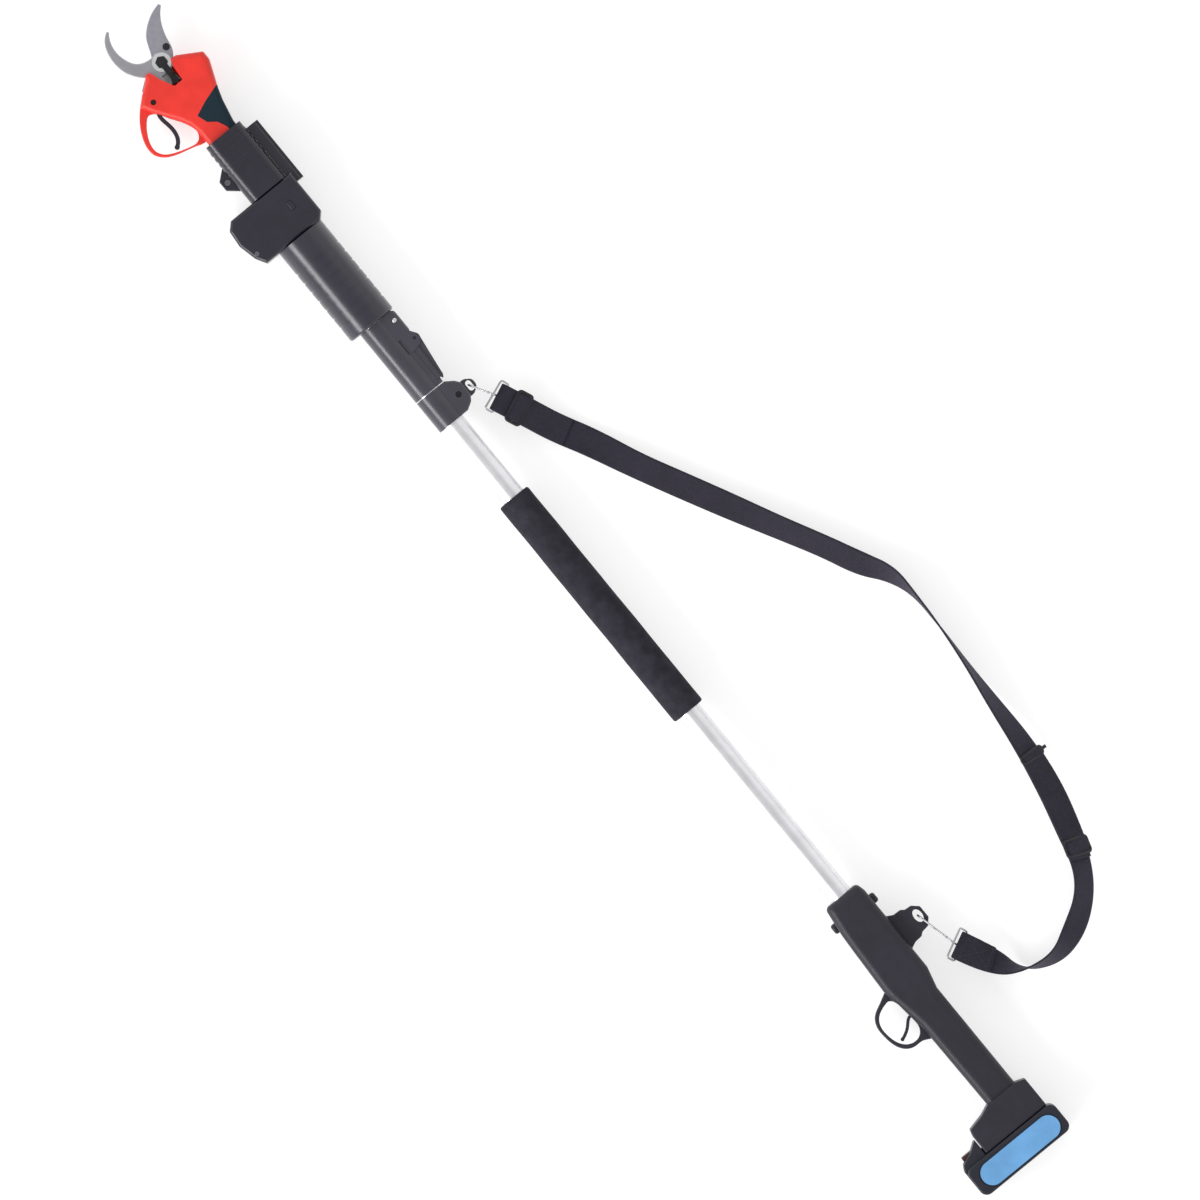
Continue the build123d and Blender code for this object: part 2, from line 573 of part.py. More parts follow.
def handle_shells():
    """Both handle halves with posts, screw holes and the cross bolt's bore."""
    block = handle_block()
    body = block - handle_cavity()
    for x, y in HANDLE_SCREWS:
        body += turned(pin(x, -y, -17, 17, 4.0)) & block
        body -= turned(screw_hole(x, -y, HANDLE_SCREW_TOP, 30, 3.2, 1.6))
    body -= post(CROSS_BOLT_X, 0, -40, 40, 2.6)
    body -= post(CROSS_BOLT_X, 0, -40, -24.4, 6.4) + post(CROSS_BOLT_X, 0, 24.4, 40, 6.4)
    body -= pin(*REMOTE_PIVOT, -12, 12, 2.0)
    return upper(body), lower(body)


def cross_bolt():
    """Bolt and nut that hold the tube in the handle."""
    shank = post(CROSS_BOLT_X, 0, -24.4, 27, 2.5)
    head = post(CROSS_BOLT_X, 0, -30.4, -24.4, 6.0)
    head = fillet(head.edges().sort_by(Axis.Y)[:1], 3.0)
    nut = post(CROSS_BOLT_X, 0, 24.4, 30.4, 6.0)
    nut = fillet(nut.edges().sort_by(Axis.Y)[-1:], 3.0) - post(CROSS_BOLT_X, 0, 20, 28, 2.5)
    return shank + head, nut


def remote_trigger():
    """Thin curved lever in the handle's guard."""
    points = [(-599.6, 19), (-596.0, 25.5), (-603.0, 34.1), (-608.3, 42.0), (-610.2, 47.0)]
    return finger_lever(points, 3.4, REMOTE_HALF, REMOTE_PIVOT, 4.0, 2.1)


def remote_trigger_spring():
    """Leaf spring beside the lever's hub."""
    return box(-595.4, -594.6, 12.5, 19.2, -3, 3) + box(-594.6, -594, 12.5, 14.5, -3, 3)


def remote_switch():
    """Switch that the remote trigger works."""
    return box(-628, -606, 3, 15.5, -5, 5) + box(-606, -604.8, 10.5, 13, -2, 2)


def terminal_block():
    """Spring contacts that meet the battery."""
    body = box(-756.8, -745, -12, 14, -11, 11)
    for z in (-8, -2.7, 2.7, 8):
        body += box(-758.8, -756.8, -8, 10, z - 0.6, z + 0.6)
    return body


# --- battery -----------------------------------------------------------------------------------
BATTERY_NOSE = [(-790, 58), (-765.4, 56.2), (-744.5, 56.2), (-752.6, 68), (-759, 83), (-766, 86.9),
                (-790, 86.9)]
PANEL = (-785.2, 24.0, 105.6, 27.0)      # centre x and y, length, width
BATTERY_BUTTON = (67.0, 80.0)


def battery_case():
    """Slide-on battery pack with its guide rails, as two halves."""
    x0, x1 = BATTERY_X[0], -765.4
    y0, y1 = BATTERY_Y
    main_body = slab([(x0, y0), (x1, y0), (x1, y1), (x0, y1)], -BATTERY_HALF, BATTERY_HALF, 9.0)
    solid = rim_rounded(main_body, BATTERY_HALF, 2.4)
    solid += rim_rounded(slab(BATTERY_NOSE, -24, 24, 1.6), 24, 1.5)
    solid -= box(-799.2, -768, -33, 83.5, -26.5, 26.5)
    solid += box(-766, -757.4, -20, 58, -14.2, 14.2) + box(-761.6, -757.4, -20, 54, -18.2, 18.2)
    solid -= box(-760, -750, -20, 20, -9.5, 9.5) + box(-770, -740, 66.6, 80.4, -12.4, 12.4)
    x, y, length, width = PANEL
    recess = Pos(x, y, 0) * Rot(0, 0, 90) * extrude(SlotOverall(length + 3, width + 3), 1.4)
    solid -= Pos(0, 0, BATTERY_HALF - 1.4) * recess + Pos(0, 0, -BATTERY_HALF) * recess
    return upper(solid), lower(solid)


def battery_panels():
    """Coloured panels let into both sides of the pack."""
    x, y, length, width = PANEL
    plate = Pos(x, y, 0) * Rot(0, 0, 90) * extrude(SlotOverall(length, width), 1.2)
    top = Pos(0, 0, BATTERY_HALF - 1.4) * plate
    return top, mirror(top, Plane.XY)


def battery_cells():
    """Five flat lithium cells."""
    return [box(-798, -769, -30, 80, z - 4.6, z + 4.6) for z in (-20, -10, 0, 10, 20)]


def battery_button():
    """Release button at the front of the pack."""
    y0, y1 = BATTERY_BUTTON
    cap = box(-762, -751.6, y0, y1, -12, 12)
    return soften(cap, 1.5, lambda e: e.center().X > -751.7)


# --- shoulder strap ----------------------------------------------------------------------------
# Stations along the webbing: x, y, roll about its own line in degrees, extra lift of its middle.
STRAP_ROUTE = [
    (217.1, -56.5, 0, 26), (185.5, -70.1, 0, 15), (151.6, -84, 0, 6), (113.9, -104.3, 10, 1),
    (62.8, -126.6, 26, 0), (13.3, -151.8, 24, 0), (-36.4, -177.2, 27, 0), (-87, -203.3, 38, 0),
    (-138.1, -230.6, 41, 0), (-177.1, -248.5, 37, 0), (-205.2, -267.2, 57, 0), (-240, -273.6, 86, 0),
    (-288.8, -272.4, 91, 0), (-338.8, -268.8, 99, 0), (-387.4, -265, 116, 1.5),
    (-443.6, -261.6, 135, 5), (-501.2, -252.9, 151, 4.5), (-548.5, -239.8, 148, 5),
    (-587.4, -227.8, 132, 5), (-615.4, -208.3, 132, 4), (-637, -176.9, 143, 2),
    (-649.2, -142, 119, 1), (-637.4, -105.3, 91, 2), (-608.8, -83.8, 32, 12),
    (-569, -66, 0, 25)]
ADJUSTERS = [(0, 0.74, 39, 21), (15, 0.27, 38.6, 12), (17, 0.5, 38.6, 22)]
HOOKS = [((245.2, -41.4), (222.7, -54.5)), ((-518.2, -52.9), (-563.5, -63.9))]
HOOK_HEIGHT = 16.5
WIRE = 2.2
HINGE_INSET = 1.5           # from the end of a gate's gap to its hinge
LOOP_BURY = 4.0             # how far inside the webbing's end the loop's bar lies
GATES = [(-5.0, 9.0, -1), (-1.0, 15.0, -1)]      # start, end, side of each hook's gate


def strap_station(k):
    """Middle point, width direction and thickness direction of the webbing at station k."""
    x, y, roll, lift = STRAP_ROUTE[k]
    before, after = STRAP_ROUTE[max(k - 1, 0)], STRAP_ROUTE[min(k + 1, len(STRAP_ROUTE) - 1)]
    rise = math.radians(roll)
    half = abs(math.sin(rise)) * WEB_W / 2 + abs(math.cos(rise)) * WEB_T / 2
    along = Vector(after[0] - before[0], after[1] - before[1], after[3] - before[3]).normalized()
    flat = Vector(-along.Y, along.X, 0).normalized()
    across = flat.rotate(Axis((0, 0, 0), along), roll)
    middle = Vector(x, y, half - AXIS_HEIGHT + 0.15 + lift)
    return middle, along, across


def shoulder_strap():
    """Flat webbing laid in its real curve, twisted where it stands on edge."""
    sections = []
    for k in range(len(STRAP_ROUTE)):
        middle, along, across = strap_station(k)
        plane = Plane(origin=middle, x_dir=across, z_dir=along)
        sections.append(plane * Rectangle(WEB_W, WEB_T))
    return loft(sections, ruled=True)


def strap_adjusters():
    """Sliders on the webbing: two rails joined by bars above and below it at both ends."""
    pieces = []
    for k, share, width, length in ADJUSTERS:
        (p, a, w), (q, b, v) = strap_station(k), strap_station(k + 1)
        middle = p + (q - p) * share
        plane = Plane(origin=middle, x_dir=w + (v - w) * share, z_dir=q - p)
        body = Box(width, WEB_T + 4.6, length)
        body = fillet(body.edges().filter_by(Axis.Y), 2.5)
        body = fillet(body.faces().sort_by(Axis.Y)[-1].edges(), 0.7)
        body -= Box(WEB_W + 1.4, WEB_T + 2.0, 90) + Box(WEB_W + 1.4, 20, length - 7)
        if k == 15:
            body += Pos(width / 2 + 2, 0, 0) * Box(7, 1.6, 4)
        pieces.append(plane * body)
    return pieces


def hook_frame(start, end):
    """Upright plane of a snap hook, its middle, length and direction."""
    a, b = Vector(*start, 0), Vector(*end, 0)
    return (a + b) / 2, (b - a).normalized(), (b - a).length


def snap_hooks():
    """Oval wire hooks from the eyes to the strap's end loops, without their gates."""
    pieces = []
    for (start, end), gate in zip(HOOKS, GATES):
        middle, along, span = hook_frame(start, end)
        plane = Plane(origin=middle, x_dir=along, z_dir=Vector(-along.Y, along.X, 0))
        outer = SlotOverall(span + 2 * WIRE + 4, HOOK_HEIGHT)
        outer -= SlotOverall(span + 4, HOOK_HEIGHT - 2 * WIRE)
        ring = plane * Pos(0, 0, -WIRE / 2) * extrude(outer, WIRE)
        middle_of_gap = Pos((gate[0] + gate[1]) / 2, gate[2] * (HOOK_HEIGHT - WIRE) / 2, 0)
        gap = plane * middle_of_gap * Box(gate[1] - gate[0], 5, 5)
        pieces.append(ring - gap)
    return pieces


def hook_gate(number):
    """Sprung gate of one snap hook."""
    (start, end), (a, b, side) = HOOKS[number], GATES[number]
    middle, along, span = hook_frame(start, end)
    plane = Plane(origin=middle, x_dir=along, z_dir=Vector(-along.Y, along.X, 0))
    thick = WIRE - 0.2
    bar = Pos((a + b - HINGE_INSET + 0.4) / 2, 0, 0) * Box(b - a - HINGE_INSET - 0.4, thick, thick)
    bar += Pos(b - HINGE_INSET, 0, 0) * Cylinder(thick / 2, thick)
    return plane * Pos(0, side * (HOOK_HEIGHT - WIRE) / 2, 0) * bar


def end_loops():
    """Wire loops whose inner bars the webbing's ends are sewn round."""
    pieces = []
    for k, (start, end) in zip((0, len(STRAP_ROUTE) - 1), HOOKS):
        middle, along, across = strap_station(k)
        out = Vector(*end, 0)
        reach = middle - out
        reach = reach * ((reach.length + LOOP_BURY) / reach.length)
        plane = Plane(origin=out + reach / 2, x_dir=across, z_dir=across.cross(reach.normalized()))
        ring = Rectangle(38, reach.length + WIRE) - Rectangle(38 - 2 * WIRE, reach.length - WIRE)
        pieces.append(plane * Pos(0, 0, -WIRE / 2) * extrude(ring, WIRE))
    return pieces


def housing_screws():
    """Screws of the handle and the strap collar."""
    screws = [turned(pan_screw(x, -y, HANDLE_SCREW_TOP, 30, 3.2, 1.6)) for x, y in HANDLE_SCREWS]
    return screws + [pan_screw(*COLLAR_SCREW, 12.2, 18, 3.2, 1.6)]


def save_head():
    """Pieces of the cutter."""
    block = head_block()
    inlay = inlay_block(block)
    top, bottom = head_shells(block, inlay)
    save("head_shell_upper", top)
    save("head_shell_lower", bottom)
    save("grip_inlay", *inlay.solids())
    save("hook_blade", hook_blade())
    save("cutting_blade", cutting_blade())
    save("blade_screw", blade_screw())
    save("sector_gear", sector_gear())
    save("pivot_bolt", pivot_bolt())
    save("pivot_nut", pivot_nut())
    save("pivot_washer", pivot_washer())
    save("lock_plate", lock_plate())
    save("head_screws", *head_screws())
    save("drive_pinion", drive_pinion())
    save("gearbox", gearbox())
    save("drive_motor", motor())
    save("control_board", control_board())
    save("head_switch", head_switch())
    save("head_trigger", head_trigger())
    save("head_trigger_pin", pin(*HEAD_TRIGGER_PIVOT, -7.6, 7.6, 2.0))
    save("head_trigger_spring", head_trigger_spring())


def save_adapter():
    """Pieces between the cutter and the tube."""
    for name, halves in (("cradle_shell", cradle()), ("plug_block", plug_block()),
                         ("barrel_shell", barrel())):
        save(f"{name}_upper", halves[0])
        save(f"{name}_lower", halves[1])
    save("clamp_plate", clamp_plate())
    save("release_button", release_button())
    save("adapter_screws", *adapter_screws())
    save("inner_tube", inner_tube())
    save("tube_end_bush", tube_end_bush())


def save_pole():
    """Pieces on the outer tube."""
    save("outer_tube", outer_tube())
    save("foam_grip", foam_grip())
    save("curly_lead", curly_lead())
    save("tube_lock_body", lock_body())
    save("flip_lever", flip_lever())
    save("tube_lock_bolt", pan_screw(*LOCK_BOLT, 15.6, 24, 2.5, 1.6))
    save("flip_lever_pin", pin(*LEVER_PIVOT, -14.8, 14.8, 2.0))
    top, bottom = strap_collar()
    save("strap_collar_upper", top)
    save("strap_collar_lower", bottom)
    save("housing_screws", *housing_screws())


def save_handle():
    """Pieces of the trigger handle and the battery."""
    top, bottom = handle_shells()
    save("handle_shell_upper", top)
    save("handle_shell_lower", bottom)
    save("handle_cross_bolt", *cross_bolt())
    save("remote_trigger", remote_trigger())
    save("remote_trigger_pin", pin(*REMOTE_PIVOT, -8, 8, 2.0))
    save("remote_trigger_spring", remote_trigger_spring())
    save("remote_switch", remote_switch())
    save("terminal_block", terminal_block())
    top, bottom = battery_case()
    save("battery_case_upper", top)
    save("battery_case_lower", bottom)
    save("battery_side_panels", *battery_panels())
    save("battery_cells", *battery_cells())
    save("battery_release_button", battery_button())


def save_strap():
    """Shoulder strap with its hardware."""
    save("shoulder_strap", shoulder_strap())
    save("strap_adjusters", *strap_adjusters())
    save("strap_end_loops", *end_loops())
    save("snap_hooks", *snap_hooks())
    save("upper_hook_gate", hook_gate(0))
    save("lower_hook_gate", hook_gate(1))


def main():
    os.makedirs("parts", exist_ok=True)
    save_head()
    save_adapter()
    save_pole()
    save_handle()
    save_strap()


if __name__ == "__main__":
    main()
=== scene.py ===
"""Looks of a battery pole pruner: materials, foam grip, strap with its hooks, light and camera.

Everything is in metres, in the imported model's frame: X runs along the pole towards the blades.
"""
import json
import math

import bpy
import numpy as np
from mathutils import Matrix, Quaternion, Vector


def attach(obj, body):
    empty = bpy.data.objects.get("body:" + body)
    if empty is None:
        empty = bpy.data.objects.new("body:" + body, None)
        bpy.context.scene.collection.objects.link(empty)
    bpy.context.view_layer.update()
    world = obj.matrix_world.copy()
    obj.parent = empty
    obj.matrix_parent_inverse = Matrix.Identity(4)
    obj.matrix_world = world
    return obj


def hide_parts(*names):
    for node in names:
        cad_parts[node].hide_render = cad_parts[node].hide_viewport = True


MM = 0.001
AXIS_Y, AXIS_Z = -0.013, 0.030            # where the pole's axis runs
AXIS_HEIGHT = 30                          # the same height in millimetres

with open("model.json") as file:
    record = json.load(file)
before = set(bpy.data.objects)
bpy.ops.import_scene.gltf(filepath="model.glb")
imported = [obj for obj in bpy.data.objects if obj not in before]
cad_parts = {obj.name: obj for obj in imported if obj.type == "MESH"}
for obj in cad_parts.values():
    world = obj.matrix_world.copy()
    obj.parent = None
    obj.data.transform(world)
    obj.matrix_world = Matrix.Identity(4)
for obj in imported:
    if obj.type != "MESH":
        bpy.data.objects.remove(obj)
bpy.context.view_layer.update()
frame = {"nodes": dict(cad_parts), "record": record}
NODES = frame["nodes"]


def at(x, y, z=0.0):
    """A point given in millimetres about the pole's axis, in the row frame."""
    return Vector((x * MM, y * MM + AXIS_Y, z * MM + AXIS_Z))


# --- materials ---------------------------------------------------------------------------------
NOISE_SPAN = (0.3, 0.7)                   # the part of a noise's range that it mostly stays in


class Shade:
    """A Principled material with short ways to add procedural detail."""

    def __init__(self, name, color, rough, metal=0.0, specular=0.5, coat=0.0, sheen=0.0):
        self.material = bpy.data.materials.new(name)
        self.material.use_nodes = True
        self.material.diffuse_color = (*color, 1.0)
        self.tree = self.material.node_tree
        self.shader = self.tree.nodes["Principled BSDF"]
        self.color = color
        self.rough = rough
        self.put("Base Color", (*color, 1.0))
        self.put("Roughness", rough)
        self.put("Metallic", metal)
        self.put("Specular IOR Level", specular)
        self.put("Coat Weight", coat)
        self.put("Coat Roughness", 0.25)
        self.put("Sheen Weight", sheen)
        self.put("Sheen Roughness", 0.5)
        self.last_bump = None

    def put(self, socket, value):
        self.shader.inputs[socket].default_value = value

    def node(self, kind, inputs=None, **settings):
        made = self.tree.nodes.new("ShaderNode" + kind)
        for key, value in settings.items():
            setattr(made, key, value)
        for key, value in (inputs or {}).items():
            if isinstance(value, bpy.types.NodeSocket):
                self.tree.links.new(value, made.inputs[key])
            else:
                made.inputs[key].default_value = value
        return made

    def place(self, stretch=(1, 1, 1), uv=False):
        """Object coordinates, or the strap's own, stretched along each axis."""
        source = self.node("UVMap", uv_map="uv").outputs[0] if uv \
            else self.node("TexCoord").outputs["Object"]
        return self.node("Mapping", {"Vector": source, "Scale": stretch}).outputs[0]

    def noise(self, scale, detail=2.0, stretch=(1, 1, 1), uv=False):
        return self.node("TexNoise", {"Vector": self.place(stretch, uv), "Scale": scale,
                                      "Detail": detail, "Roughness": 0.5}).outputs["Fac"]

    def ramp(self, value, low, high, start=0.0, end=1.0):
        return self.node("MapRange", {"Value": value, "From Min": start, "From Max": end,
                                      "To Min": low, "To Max": high}).outputs[0]

    def mix_color(self, factor, a, b):
        mix = self.node("Mix", data_type="RGBA")
        self.tree.links.new(factor, mix.inputs[0])
        for index, value in ((6, a), (7, b)):
            if isinstance(value, bpy.types.NodeSocket):
                self.tree.links.new(value, mix.inputs[index])
            else:
                mix.inputs[index].default_value = (*value, 1.0)
        return mix.outputs[2]

    def tones(self, amount, scale, **where):
        """Base colour that drifts a little darker and lighter."""
        low = tuple(c * (1 - amount) for c in self.color)
        high = tuple(min(1.0, c * (1 + amount)) for c in self.color)
        factor = self.ramp(self.noise(scale, 3.0, **where), 0.0, 1.0, *NOISE_SPAN)
        self.base(self.mix_color(factor, low, high))
        return self

    def base(self, socket):
        self.tree.links.new(socket, self.shader.inputs["Base Color"])

    def gloss(self, spread, scale, **where):
        """Roughness that drifts about its middle value."""
        value = self.ramp(self.noise(scale, 4.0, **where), self.rough - spread,
                          self.rough + spread, *NOISE_SPAN)
        self.tree.links.new(value, self.shader.inputs["Roughness"])
        return self

    def bump(self, height, distance):
        """One more layer of relief, distance metres high."""
        inputs = {"Height": height, "Distance": distance, "Strength": 1.0}
        if self.last_bump:
            inputs["Normal"] = self.last_bump
        self.last_bump = self.node("Bump", inputs).outputs[0]
        self.tree.links.new(self.last_bump, self.shader.inputs["Normal"])
        return self

    def grain(self, scale, distance, detail=2.0, **where):
        return self.bump(self.noise(scale, detail, **where), distance)


def plastic(name, color, rough=0.42, grain=0.00006, **more):
    """Moulded nylon: fine spark-eroded grain and slow changes of tone and gloss."""
    more.setdefault("specular", 0.38)
    made = Shade(name, color, rough, **more)
    made.tones(0.12, 30.0)
    made.gloss(0.05, 120.0)
    made.grain(2200.0, grain)
    return made


def metal(name, color, rough, brushed=(1, 1, 1)):
    """Bare metal; its grinding lines run along the axis that brushed makes small."""
    made = Shade(name, color, rough, metal=1.0)
    made.tones(0.06, 60.0)
    made.gloss(0.07, 300.0, stretch=brushed)
    made.grain(900.0, 0.00002, stretch=brushed)
    return made


def paint_nodes():
    """Every CAD node gets the material of its slot in the record."""
    shades = {
        "housing_orange": plastic("housing_orange", (0.68, 0.0285, 0.0185), 0.38, 0.00003),
        "inlay_rubber": plastic("inlay_rubber", (0.003, 0.016, 0.026), 0.7, 0.00012,
                                specular=0.25),
        "cutter_black": plastic("cutter_black", (0.0118, 0.0096, 0.0195), 0.29, coat=0.4),
        "barrel_black": plastic("barrel_black", (0.0195, 0.0165, 0.029), 0.23, coat=0.5),
        "lock_black": plastic("lock_black", (0.034, 0.032, 0.045), 0.27, coat=0.5),
        "handle_black": plastic("handle_black", (0.0165, 0.0150, 0.024), 0.44, 0.0001),
        "battery_black": plastic("battery_black", (0.012, 0.0125, 0.022), 0.40),
        "panel_blue": plastic("panel_blue", (0.125, 0.325, 0.60), 0.3, 0.00001, coat=0.2),
        "hook_steel": metal("hook_steel", (0.45, 0.445, 0.475), 0.34, (0.12, 1, 1)),
        "blade_steel": metal("blade_steel", (0.425, 0.415, 0.47), 0.36, (0.5, 0.7, 1)),
        "washer_steel": metal("washer_steel", (0.86, 0.87, 0.88), 0.2),
        "black_steel": plastic("black_steel", (0.012, 0.012, 0.014), 0.32, 0.00002),
        "screw_steel": metal("screw_steel", (0.2, 0.2, 0.22), 0.3),
        "wire_steel": metal("wire_steel", (0.46, 0.465, 0.48), 0.22),
        "gear_steel": metal("gear_steel", (0.42, 0.42, 0.43), 0.35),
        "motor_steel": metal("motor_steel", (0.5, 0.5, 0.5), 0.3, (0.05, 1, 1)),
        "board_green": plastic("board_green", (0.01, 0.12, 0.05), 0.35),
        "switch_black": plastic("switch_black", (0.015, 0.015, 0.015), 0.4),
        "outer_aluminium": metal("outer_aluminium", (0.81, 0.805, 0.83), 0.36, (0.02, 1, 1)),
        "inner_aluminium": metal("inner_aluminium", (0.76, 0.76, 0.785), 0.26, (0.02, 1, 1)),
        "foam": foam_shade(),
        "lead_rubber": plastic("lead_rubber", (0.015, 0.015, 0.016), 0.6),
        "webbing": webbing_shade(),
        "adjuster_black": plastic("adjuster_black", (0.009, 0.008, 0.0125), 0.42),
        "latch_brown": plastic("latch_brown", (0.045, 0.014, 0.014), 0.4),
        "thread": plastic("thread", (0.03, 0.03, 0.034), 0.6, sheen=0.3),
        "cell_foil": metal("cell_foil", (0.6, 0.6, 0.62), 0.35),
    }
    for part in frame["record"]["subparts"]:
        mesh = NODES[part["node"]].data
        mesh.materials.clear()
        mesh.materials.append(shades[part["material_slot"]].material)
    return {name: shade.material for name, shade in shades.items()}


def foam_shade():
    """Matt foam: fine cells at its surface and slow dents."""
    made = Shade("foam", (0.024, 0.0225, 0.031), 0.92, specular=0.2)
    made.tones(0.25, 90.0)
    cells = made.node("TexVoronoi", {"Vector": made.place(), "Scale": 700.0}).outputs["Distance"]
    made.bump(cells, 0.0003)
    made.grain(180.0, 0.0003, 3.0)
    return made


def webbing_shade():
    """Woven webbing: staggered picks in ribs along the strap, and darker gaps between them."""
    made = Shade("webbing", (0.0105, 0.010, 0.0125), 0.8, specular=0.3, sheen=0.14)
    weave = made.node("TexBrick", {"Vector": made.place(uv=True), "Scale": 1.0,
                                   "Brick Width": 0.0026, "Row Height": 0.0017,
                                   "Mortar Size": 0.0003, "Mortar Smooth": 0.9,
                                   "Color1": (1, 1, 1, 1), "Color2": (0.7, 0.7, 0.7, 1),
                                   "Mortar": (0, 0, 0, 1)}, offset=0.5)
    made.put("Sheen Tint", (0.78, 0.70, 1.0, 1.0))
    dark, light = (0.0055, 0.0045, 0.0085), (0.0205, 0.0175, 0.031)
    shade = made.mix_color(weave.outputs["Color"], dark, light)
    drift = made.ramp(made.noise(40.0, 3.0), 0.8, 1.15, *NOISE_SPAN)
    scaled = made.node("VectorMath", {0: shade, "Scale": drift}, operation="SCALE").outputs[0]
    made.base(scaled)
    made.bump(weave.outputs["Color"], 0.00045)
    made.grain(2600.0, 0.00012, uv=True)
    return made


# --- mesh helpers ------------------------------------------------------------------------------
def mesh_object(name, verts, faces, material, smooth=True, uvs=None):
    """A mesh piece from points and faces."""
    mesh = bpy.data.meshes.new(name)
    mesh.from_pydata([tuple(v) for v in verts], [], faces)
    mesh.update()
    mesh.materials.append(material)
    for polygon in mesh.polygons:
        polygon.use_smooth = smooth
    if uvs:
        layer = mesh.uv_layers.new(name="uv")
        for loop in mesh.loops:
            layer.data[loop.index].uv = uvs[loop.vertex_index]
    made = bpy.data.objects.new(name, mesh)
    bpy.context.scene.collection.objects.link(made)
    return made


def ring_faces(rings, around, closed=False):
    """Faces between rings of points that follow each other, with end caps unless closed."""
    faces = []
    for i in range(rings if closed else rings - 1):
        this, following = i * around, (i + 1) % rings * around
        for k in range(around):
            beside = (k + 1) % around
            faces.append((this + k, this + beside, following + beside, following + k))
    if not closed:
        faces.append(tuple(range(around - 1, -1, -1)))
        faces.append(tuple(range((rings - 1) * around, rings * around)))
    return faces


def swept(name, points, across, section, material, closed=False):
    """A closed section swept along points; across gives the section's X direction at each one.

    section is a list of (x, y) in metres; the uv layer holds metres along and round the section.
    """
    count, around = len(points), len(section)
    rim = [0.0]
    for k in range(1, around):
        rim.append(rim[-1] + (Vector(section[k]) - Vector(section[k - 1])).length)
    verts, uvs, run = [], [], 0.0
    for i, point in enumerate(points):
        before = points[i - 1] if (i or closed) else points[i]
        after = points[(i + 1) % count] if (closed or i + 1 < count) else points[i]
        along = (after - before).normalized()
        side = (across[i] - along * across[i].dot(along)).normalized()
        up = along.cross(side)
        if i:
            run += (point - points[i - 1]).length
        for k, (x, y) in enumerate(section):
            verts.append(point + side * x + up * y)
            uvs.append((run, rim[k]))
    return mesh_object(name, verts, ring_faces(count, around, closed), material, uvs=uvs)


def flat_section(width, thickness, steps=10):
    """A webbing section with rounded edges."""
    half, r = width / 2, thickness / 2
    top = [(half - r - (width - 2 * r) * k / steps, r) for k in range(steps + 1)]
    left = [(-half + r - r * math.sin(a), r * math.cos(a)) for a in (0.8, 1.57, 2.34)]
    bottom = [(-x, -y) for x, y in top]
    right = [(-x, -y) for x, y in left]
    return top + left + bottom + right


def round_section(radius, steps=12):
    """A round section as a polygon of that many sides."""
    return [(radius * math.cos(2 * math.pi * k / steps), radius * math.sin(2 * math.pi * k / steps))
            for k in range(steps)]


def rounded_rectangle(half_w, half_l, radius, steps):
    """Points round a rectangle, with steps + 1 of them on each corner's arc."""
    path = []
    for sx, sy, first in ((1, 1, 0), (-1, 1, 90), (-1, -1, 180), (1, -1, 270)):
        for step in range(steps + 1):
            a = math.radians(first + 90 / steps * step)
            path.append((sx * (half_w - radius) + radius * math.cos(a),
                         sy * (half_l - radius) + radius * math.sin(a)))
    return path


# --- shoulder strap ----------------------------------------------------------------------------
WEB_W, WEB_T = 0.032, 0.0022
WEB_HALF_W, WEB_HALF_T = 16, 1.1          # half of each, in millimetres
WEB_OFF_FLOOR = 0.15                      # millimetres
LAYER = WEB_T + 0.0001                    # from one layer's middle to the next
LAYER_INSET = 0.0004                      # a second layer is narrower by this much
HUMP = 0.0022                             # how far a second layer rises over a slider's bar
# The webbing's route as in the CAD: x, y, roll in degrees about its own line, lift of its middle.
STRAP_ROUTE = [
    (217.1, -56.5, 0, 26), (185.5, -70.1, 0, 15), (151.6, -84, 0, 6), (113.9, -104.3, 10, 1),
    (62.8, -126.6, 26, 0), (13.3, -151.8, 24, 0), (-36.4, -177.2, 27, 0), (-87, -203.3, 38, 0),
    (-138.1, -230.6, 41, 0), (-177.1, -248.5, 37, 0), (-205.2, -267.2, 57, 0),
    (-240, -273.6, 86, 0), (-288.8, -272.4, 91, 0), (-338.8, -268.8, 99, 0),
    (-387.4, -265, 116, 1.5), (-443.6, -261.6, 135, 5), (-501.2, -252.9, 151, 4.5),
    (-548.5, -239.8, 148, 5), (-587.4, -227.8, 132, 5), (-615.4, -208.3, 132, 4),
    (-637, -176.9, 143, 2), (-649.2, -142, 119, 1), (-637.4, -105.3, 91, 2),
    (-608.8, -83.8, 32, 12), (-569, -66, 0, 25)]
SLIDERS = [(0.74, 39, 21), (15.27, 38.6, 12), (17.5, 38.6, 22)]      # station, width, length
SIDE_TAB = 1                              # the slider that has a tab at its side
SLIDER_BAR, SLIDER_CORNER = 0.0036, 0.0034
SLIDER_RISE = 0.0029                      # from the webbing's middle to the slider's
SLIDER_FLATTEN = 0.78                     # the bar's height over its width
SEAM_INSET = 0.004                        # from the webbing's edge
STITCH_PITCH, STITCH_REACH, THREAD_HALF_W = 0.0031, 0.0011, 0.00028
STITCH_ARCH = [(-1.0, -0.1), (-0.6, 0.22), (0.0, 0.34), (0.6, 0.22), (1.0, -0.1)]
